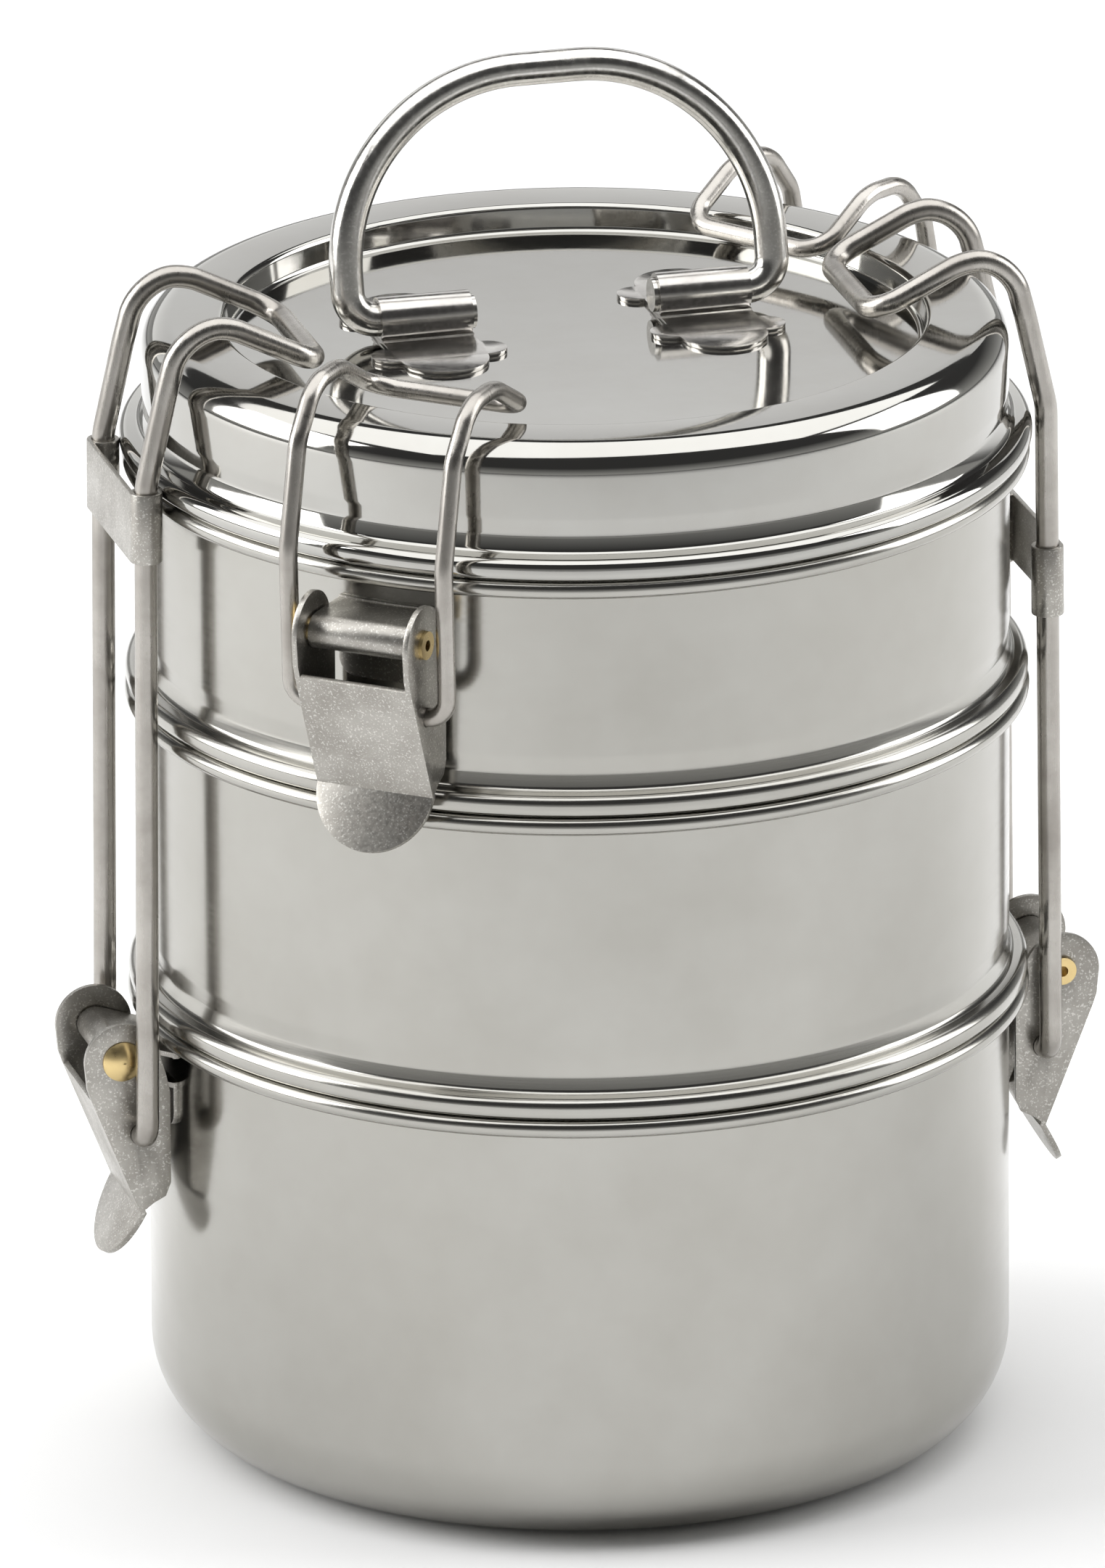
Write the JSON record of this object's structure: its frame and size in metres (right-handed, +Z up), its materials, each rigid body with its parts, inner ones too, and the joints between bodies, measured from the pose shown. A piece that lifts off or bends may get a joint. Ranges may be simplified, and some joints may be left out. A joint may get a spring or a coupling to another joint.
{
  "type": "tiffin carrier",
  "caption": "Stacked round steel food bowls with a flat lid, folding wire handle and sprung-wire lever clamps that hold the stack shut.",
  "frame": {"origin": "centre of the flat underside of the bottom bowl", "axes": "+Z up along the axis of the bowls; +X through the right-hand long clamp and parallel to the handle's hinge line"},
  "size_m": [0.1704, 0.1472, 0.2267],
  "materials": {
    "polished_steel": "polished, fine vertical grain on the walls",
    "steel_sheet": "tumbled, satin",
    "drawn_steel_wire": "drawn, fine lines along the wire",
    "brass": "bright, slightly dulled"
  },
  "bodies": {
    "carrier": {"bottom_bowl": "polished_steel", "middle_bowl": "polished_steel", "top_bowl": "polished_steel", "lid": "polished_steel", "handle_saddle_left": "steel_sheet", "handle_saddle_right": "steel_sheet", "long_bracket_left": "steel_sheet", "long_bracket_right": "steel_sheet", "short_bracket_front": "steel_sheet", "short_bracket_back": "steel_sheet"},
    "handle": {"handle": "drawn_steel_wire"},
    "long_lever_left": {"long_lever_left": "steel_sheet", "long_rivet_left": "brass"},
    "long_bail_left": {"long_bail_left": "drawn_steel_wire", "long_strap_left": "steel_sheet"},
    "long_lever_right": {"long_lever_right": "steel_sheet", "long_rivet_right": "brass"},
    "long_bail_right": {"long_bail_right": "drawn_steel_wire", "long_strap_right": "steel_sheet"},
    "short_lever_front": {"short_lever_front": "steel_sheet", "short_rivet_front": "brass"},
    "short_bail_front": {"short_bail_front": "drawn_steel_wire"},
    "short_lever_back": {"short_lever_back": "steel_sheet", "short_rivet_back": "brass"},
    "short_bail_back": {"short_bail_back": "drawn_steel_wire"}
  },
  "joints": [
    {"name": "handle_fold", "type": "hinge", "parent": "carrier", "child": "handle", "pos_m": [0, 0.0078, 0.1869], "axis": [1, 0, 0], "range_deg": [-58, 94]},
    {"name": "long_lever_left_swing", "type": "hinge", "parent": "carrier", "child": "long_lever_left", "pos_m": [-0.0789, 0, 0.0709], "axis": [0, 1, 0], "range_deg": [0, 95]},
    {"name": "long_bail_left_swing", "type": "hinge", "parent": "long_lever_left", "child": "long_bail_left", "pos_m": [-0.0759, 0, 0.0582], "axis": [0, 1, 0], "range_deg": [-86.6, 0]},
    {"name": "long_lever_right_swing", "type": "hinge", "parent": "carrier", "child": "long_lever_right", "pos_m": [0.0789, 0, 0.0709], "axis": [0, -1, 0], "range_deg": [0, 95]},
    {"name": "long_bail_right_swing", "type": "hinge", "parent": "long_lever_right", "child": "long_bail_right", "pos_m": [0.0759, 0, 0.0582], "axis": [0, -1, 0], "range_deg": [-86.6, 0]},
    {"name": "short_lever_front_swing", "type": "hinge", "parent": "carrier", "child": "short_lever_front", "pos_m": [-0.05072, -0.06044, 0.1573], "axis": [-0.766, 0.6428, 0], "range_deg": [0, 115]},
    {"name": "short_bail_front_swing", "type": "hinge", "parent": "short_lever_front", "child": "short_bail_front", "pos_m": [-0.05007, -0.05967, 0.1449], "axis": [-0.766, 0.6428, 0], "range_deg": [-155.4, 0]},
    {"name": "short_lever_back_swing", "type": "hinge", "parent": "carrier", "child": "short_lever_back", "pos_m": [0.06301, 0.04748, 0.1573], "axis": [0.6018, -0.7986, 0], "range_deg": [0, 115]},
    {"name": "short_bail_back_swing", "type": "hinge", "parent": "short_lever_back", "child": "short_bail_back", "pos_m": [0.06221, 0.04688, 0.1449], "axis": [0.6018, -0.7986, 0], "range_deg": [-155.4, 0]}
  ],
  "couplings": [
    {"joint": "long_bail_left_swing", "follows": "long_lever_left_swing", "ratio": -0.91},
    {"joint": "long_bail_right_swing", "follows": "long_lever_right_swing", "ratio": -0.91},
    {"joint": "short_bail_front_swing", "follows": "short_lever_front_swing", "ratio": -1.35},
    {"joint": "short_bail_back_swing", "follows": "short_lever_back_swing", "ratio": -1.35}
  ]
}
